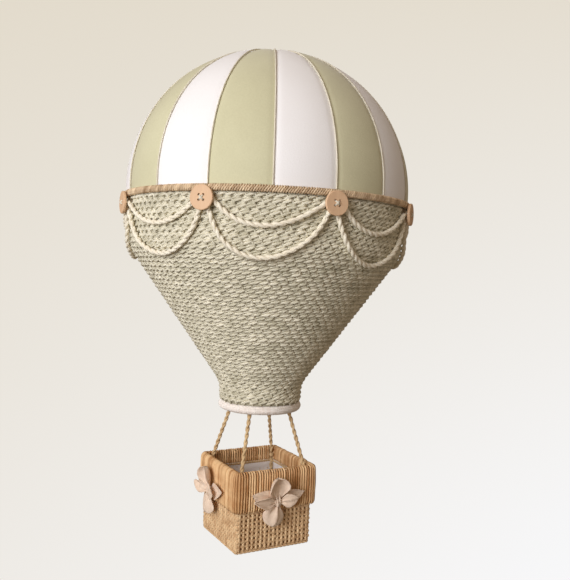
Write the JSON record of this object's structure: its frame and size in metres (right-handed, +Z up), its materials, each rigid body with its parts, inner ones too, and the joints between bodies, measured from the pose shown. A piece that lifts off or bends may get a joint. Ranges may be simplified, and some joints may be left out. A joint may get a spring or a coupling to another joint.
{
  "type": "hot-air balloon hanging decoration",
  "caption": "Hanging nursery decoration in the shape of a hot-air balloon: cloth dome, crocheted skirt with button swags, and a raffia basket on ropes that sway.",
  "frame": {"origin": "mouth of the crown eyelet, on the balloon's axis", "axes": "+Z up along the balloon's axis and out of the eyelet; the basket's faces look along X and Y"},
  "size_m": [0.3096, 0.3096, 0.5109],
  "materials": {
    "antique_brass": "satin",
    "papier_mache": "matte",
    "sage_felt": "matte felt",
    "white_felt": "matte felt",
    "cream_cord": "matte",
    "hoop_wood": "plain",
    "jute_wrap": "wrapped thread",
    "sage_knit": "crocheted cord",
    "neck_thread": "wrapped thread",
    "stiff_card": "matte",
    "button_wood": "satin",
    "swag_cotton": "twisted cord",
    "raffia_rope": "twisted raffia",
    "raffia_weave": "open weave",
    "raffia_wrap": "wrapped raffia",
    "cotton_lining": "matte",
    "linen_petal": "matte linen"
  },
  "bodies": {
    "envelope": {"crown_eyelet": "antique_brass", "dome_shell": "papier_mache", "gore_sage_01": "sage_felt", "gore_white_02": "white_felt", "gore_sage_03": "sage_felt", "gore_white_04": "white_felt", "gore_sage_05": "sage_felt", "gore_white_06": "white_felt", "gore_sage_07": "sage_felt", "gore_white_08": "white_felt", "gore_sage_09": "sage_felt", "gore_white_10": "white_felt", "gore_sage_11": "sage_felt", "gore_white_12": "white_felt", "gore_sage_13": "sage_felt", "gore_white_14": "white_felt", "gore_sage_15": "sage_felt", "gore_white_16": "white_felt", "seam_piping": "cream_cord", "equator_hoop": "hoop_wood", "equator_wrap": "jute_wrap", "knit_skirt": "sage_knit", "skirt_form": "papier_mache", "neck_hoop": "hoop_wood", "neck_wrap": "neck_thread", "neck_disc": "stiff_card", "buttons": "button_wood", "button_threads": "cream_cord", "swag_upper_1": "swag_cotton", "swag_upper_2": "swag_cotton", "swag_upper_3": "swag_cotton", "swag_upper_4": "swag_cotton", "swag_upper_5": "swag_cotton", "swag_upper_6": "swag_cotton", "swag_upper_7": "swag_cotton", "swag_upper_8": "swag_cotton", "swag_lower_1": "swag_cotton", "swag_lower_2": "swag_cotton", "swag_lower_3": "swag_cotton", "swag_lower_4": "swag_cotton", "swag_lower_5": "swag_cotton", "swag_lower_6": "swag_cotton", "swag_lower_7": "swag_cotton", "swag_lower_8": "swag_cotton"},
    "tie_1": {"rope_tie_1": "raffia_rope"},
    "rope_1": {"rope_1": "raffia_rope"},
    "tie_2": {"rope_tie_2": "raffia_rope"},
    "rope_2": {"rope_2": "raffia_rope"},
    "tie_3": {"rope_tie_3": "raffia_rope"},
    "rope_3": {"rope_3": "raffia_rope"},
    "tie_4": {"rope_tie_4": "raffia_rope"},
    "rope_4": {"rope_4": "raffia_rope"},
    "knot_1": {"corner_knot_1": "raffia_rope"},
    "basket": {"basket_box": "raffia_weave", "basket_collar": "raffia_wrap", "basket_lining": "cotton_lining", "basket_floor": "stiff_card", "corner_knots": "raffia_rope", "flower_petals": "linen_petal", "flower_centres": "linen_petal"}
  },
  "joints": [
    {"name": "sway_x", "type": "hinge", "parent": "envelope", "child": "tie_1", "pos_m": [-0.02157, -0.02157, -0.3685], "axis": [1, 0, 0], "range_deg": [-12, 12]},
    {"name": "sway_y", "type": "hinge", "parent": "tie_1", "child": "rope_1", "pos_m": [-0.02157, -0.02157, -0.3685], "axis": [0, 1, 0], "range_deg": [-12, 12]},
    {"name": "knot_1_turn", "type": "hinge", "parent": "rope_1", "child": "knot_1", "pos_m": [-0.0376, -0.0376, -0.4365], "axis": [0, 1, 0], "range_deg": [-7, 7]},
    {"name": "basket_level", "type": "hinge", "parent": "knot_1", "child": "basket", "pos_m": [-0.0376, -0.0376, -0.4365], "axis": [1, 0, 0], "range_deg": [-7, 7]},
    {"name": "tie_2_swing", "type": "hinge", "parent": "envelope", "child": "tie_2", "pos_m": [0.02157, -0.02157, -0.3685], "axis": [1, 0, 0], "range_deg": [-12, 12]},
    {"name": "rope_2_swing", "type": "hinge", "parent": "tie_2", "child": "rope_2", "pos_m": [0.02157, -0.02157, -0.3685], "axis": [0, 1, 0], "range_deg": [-12, 12]},
    {"name": "tie_3_swing", "type": "hinge", "parent": "envelope", "child": "tie_3", "pos_m": [0.02157, 0.02157, -0.3685], "axis": [1, 0, 0], "range_deg": [-12, 12]},
    {"name": "rope_3_swing", "type": "hinge", "parent": "tie_3", "child": "rope_3", "pos_m": [0.02157, 0.02157, -0.3685], "axis": [0, 1, 0], "range_deg": [-12, 12]},
    {"name": "tie_4_swing", "type": "hinge", "parent": "envelope", "child": "tie_4", "pos_m": [-0.02157, 0.02157, -0.3685], "axis": [1, 0, 0], "range_deg": [-12, 12]},
    {"name": "rope_4_swing", "type": "hinge", "parent": "tie_4", "child": "rope_4", "pos_m": [-0.02157, 0.02157, -0.3685], "axis": [0, 1, 0], "range_deg": [-12, 12]}
  ],
  "couplings": [
    {"joint": "knot_1_turn", "follows": "sway_y", "ratio": -0.5736},
    {"joint": "basket_level", "follows": "sway_x", "ratio": -0.5736},
    {"joint": "tie_2_swing", "follows": "sway_x", "ratio": 1},
    {"joint": "rope_2_swing", "follows": "sway_y", "ratio": 1},
    {"joint": "tie_3_swing", "follows": "sway_x", "ratio": 1},
    {"joint": "rope_3_swing", "follows": "sway_y", "ratio": 1},
    {"joint": "tie_4_swing", "follows": "sway_x", "ratio": 1},
    {"joint": "rope_4_swing", "follows": "sway_y", "ratio": 1}
  ]
}
